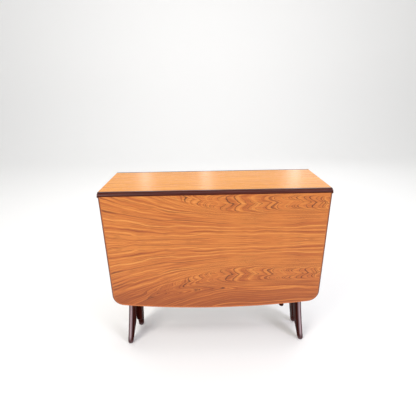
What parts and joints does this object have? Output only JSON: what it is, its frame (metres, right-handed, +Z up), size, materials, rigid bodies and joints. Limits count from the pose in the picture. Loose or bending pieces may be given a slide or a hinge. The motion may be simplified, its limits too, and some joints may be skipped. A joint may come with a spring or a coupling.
{
  "type": "drop leaf table",
  "caption": "Narrow drop-leaf table with hanging rounded leaves on rule joints, splayed dark legs and swinging gates that hold the raised leaves.",
  "frame": {"origin": "on the floor, under the middle of the table", "axes": "+X along the table's length to the right, -Y to the front, +Z up; both leaves hang and both gates are closed"},
  "size_m": [0.81, 0.296, 0.735],
  "materials": {
    "teak_veneer": "satin lacquered teak veneer",
    "teak_solid": "satin lacquered solid teak",
    "dark_lacquer": "dark stained hardwood, satin lacquer",
    "rail_wood": "dark stained hardwood, matt",
    "board_core": "bare blockboard",
    "brass": "dull rolled brass",
    "steel": "zinc plated",
    "nylon_glide": "moulded nylon"
  },
  "bodies": {
    "frame": {"top_core": "board_core", "top_veneer": "teak_veneer", "front_top_lipping": "dark_lacquer", "back_top_lipping": "dark_lacquer", "left_top_edging": "teak_solid", "right_top_edging": "teak_solid", "front_hinge_top_plates": "brass", "front_hinge_pins": "steel", "front_hinge_top_screws": "brass", "back_hinge_top_plates": "brass", "back_hinge_pins": "steel", "back_hinge_top_screws": "brass", "front_rail": "rail_wood", "back_rail": "rail_wood", "left_end_rail": "rail_wood", "right_end_rail": "rail_wood", "centre_cross_rail": "rail_wood", "corner_blocks": "rail_wood", "top_brackets": "steel", "bracket_screws": "steel", "fixed_leg_front_right": "dark_lacquer", "fixed_leg_back_left": "dark_lacquer", "leg_screws": "steel", "fixed_leg_glides": "nylon_glide", "lower_beam": "rail_wood", "right_lower_cross": "rail_wood", "left_lower_cross": "rail_wood", "front_lower_arm": "rail_wood", "back_lower_arm": "rail_wood", "front_pivot_block": "rail_wood", "back_pivot_block": "rail_wood"},
    "front_leaf": {"front_leaf_core": "board_core", "front_leaf_veneer": "teak_veneer", "front_leaf_cove": "teak_solid", "front_leaf_edging": "teak_solid", "front_leaf_stop": "dark_lacquer", "front_hinge_leaf_plates": "brass", "front_hinge_leaf_screws": "brass"},
    "back_leaf": {"back_leaf_core": "board_core", "back_leaf_veneer": "teak_veneer", "back_leaf_cove": "teak_solid", "back_leaf_edging": "teak_solid", "back_leaf_stop": "dark_lacquer", "back_hinge_leaf_plates": "brass", "back_hinge_leaf_screws": "brass"},
    "front_gate": {"front_gate_leg": "dark_lacquer", "front_gate_top_rail": "rail_wood", "front_gate_lower_rail": "rail_wood", "front_gate_stile": "dark_lacquer", "front_gate_pin": "steel", "front_gate_knob": "dark_lacquer", "front_gate_glide": "nylon_glide"},
    "back_gate": {"back_gate_leg": "dark_lacquer", "back_gate_top_rail": "rail_wood", "back_gate_lower_rail": "rail_wood", "back_gate_stile": "dark_lacquer", "back_gate_pin": "steel", "back_gate_knob": "dark_lacquer", "back_gate_glide": "nylon_glide"}
  },
  "joints": [
    {"name": "front_leaf_hinge", "type": "hinge", "parent": "frame", "child": "front_leaf", "pos_m": [0, -0.1355, 0.7225], "axis": [-1, 0, 0], "range_deg": [0, 90]},
    {"name": "back_leaf_hinge", "type": "hinge", "parent": "frame", "child": "back_leaf", "pos_m": [0, 0.1355, 0.7225], "axis": [1, 0, 0], "range_deg": [0, 90]},
    {"name": "front_gate_swing", "type": "hinge", "parent": "frame", "child": "front_gate", "pos_m": [0.283, -0.06, 0.21], "axis": [0, 0, 1], "range_deg": [0, 4]},
    {"name": "back_gate_swing", "type": "hinge", "parent": "frame", "child": "back_gate", "pos_m": [-0.283, 0.06, 0.21], "axis": [0, 0, 1], "range_deg": [0, 4]}
  ]
}
